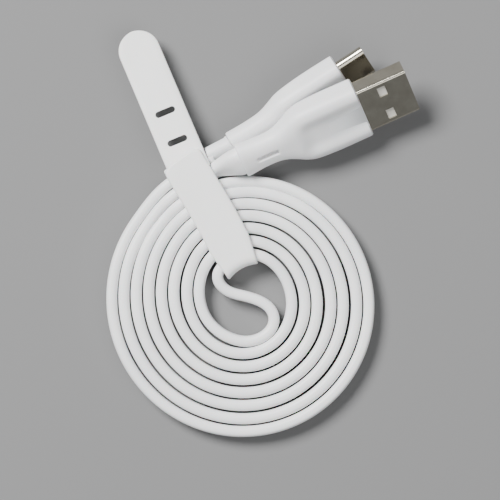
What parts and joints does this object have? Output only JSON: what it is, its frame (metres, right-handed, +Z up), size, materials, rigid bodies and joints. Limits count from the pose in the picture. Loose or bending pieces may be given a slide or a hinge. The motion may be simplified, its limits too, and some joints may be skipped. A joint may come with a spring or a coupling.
{
  "type": "charging cable",
  "caption": "Flat white charging cable with a USB-A and a USB-C plug, wound on edge into a flat coil and held by a silicone strap with a pegged closure.",
  "frame": {"origin": "winding centre of the coil, on the surface that the coil lies on", "axes": "+Z up out of the coil; +Y towards the side where the strap leaves and the plugs lie; +X towards the plugs' tips"},
  "size_m": [0.0705, 0.0915, 0.0155],
  "materials": {
    "cable_jacket": "smooth satin TPE",
    "plug_plastic": "fine satin moulded",
    "strap_silicone": "soft matte silicone",
    "plated_steel": "bright nickel plate",
    "contact_gold": "gold flash plate",
    "insulator_white": "moulded LCP",
    "insulator_dark": "moulded LCP",
    "inner_mould": "natural polyethylene",
    "solder": "bright solder",
    "board_green": "solder mask",
    "chip_black": "ceramic chip",
    "wire_red": "PVC",
    "wire_black": "PVC",
    "wire_green": "PVC",
    "wire_white": "PVC"
  },
  "bodies": {
    "cable": {"cable_coil": "cable_jacket", "cable_crossover": "cable_jacket", "cable_lead_front": "cable_jacket", "cable_lead_rear": "cable_jacket", "strap_loop": "strap_silicone"},
    "front_plug": {"usb_a_shell": "plated_steel", "usb_a_tongue": "insulator_white", "usb_a_power_contacts": "contact_gold", "usb_a_data_contacts": "contact_gold", "usb_a_solder_joints": "solder", "usb_a_wire_power": "wire_red", "usb_a_wire_ground": "wire_black", "usb_a_wire_data_plus": "wire_green", "usb_a_wire_data_minus": "wire_white", "usb_a_cable_end": "cable_jacket", "usb_a_inner_mould": "inner_mould", "usb_a_grip": "plug_plastic", "usb_a_boot": "plug_plastic"},
    "rear_plug": {"usb_c_shell": "plated_steel", "usb_c_insulator": "insulator_dark", "usb_c_upper_contacts": "contact_gold", "usb_c_lower_contacts": "contact_gold", "usb_c_latch_springs": "plated_steel", "usb_c_board": "board_green", "usb_c_resistor": "chip_black", "usb_c_wire_power": "wire_red", "usb_c_wire_ground": "wire_black", "usb_c_wire_data_plus": "wire_green", "usb_c_wire_data_minus": "wire_white", "usb_c_cable_end": "cable_jacket", "usb_c_inner_mould": "inner_mould", "usb_c_grip": "plug_plastic", "usb_c_boot": "plug_plastic"},
    "strap_head": {"strap_head": "strap_silicone"},
    "strap_tail": {"strap_tail": "strap_silicone"}
  },
  "joints": [
    {"name": "strap_head_peel", "type": "hinge", "parent": "cable", "child": "strap_head", "pos_m": [-0.0014, 0.00831, 0.00695], "axis": [0.8746, 0.4848, 0], "range_deg": [0, 110]},
    {"name": "strap_tail_flex", "type": "hinge", "parent": "cable", "child": "strap_tail", "pos_m": [-0.01526, 0.03292, 0.00723], "axis": [0.8192, 0.5736, 0], "range_deg": [0, 80]},
    {"name": "front_plug_flex", "type": "hinge", "parent": "cable", "child": "front_plug", "pos_m": [-0.00386, 0.03108, 0.00636], "axis": [0.4067, -0.9135, 0], "range_deg": [0, 30], "deforming": ["usb_a_boot", "usb_a_cable_end"]},
    {"name": "rear_plug_flex", "type": "hinge", "parent": "cable", "child": "rear_plug", "pos_m": [-0.00594, 0.03417, 0.00392], "axis": [0, 0, 1], "range_deg": [0, 25], "deforming": ["usb_c_boot", "usb_c_cable_end"]}
  ]
}
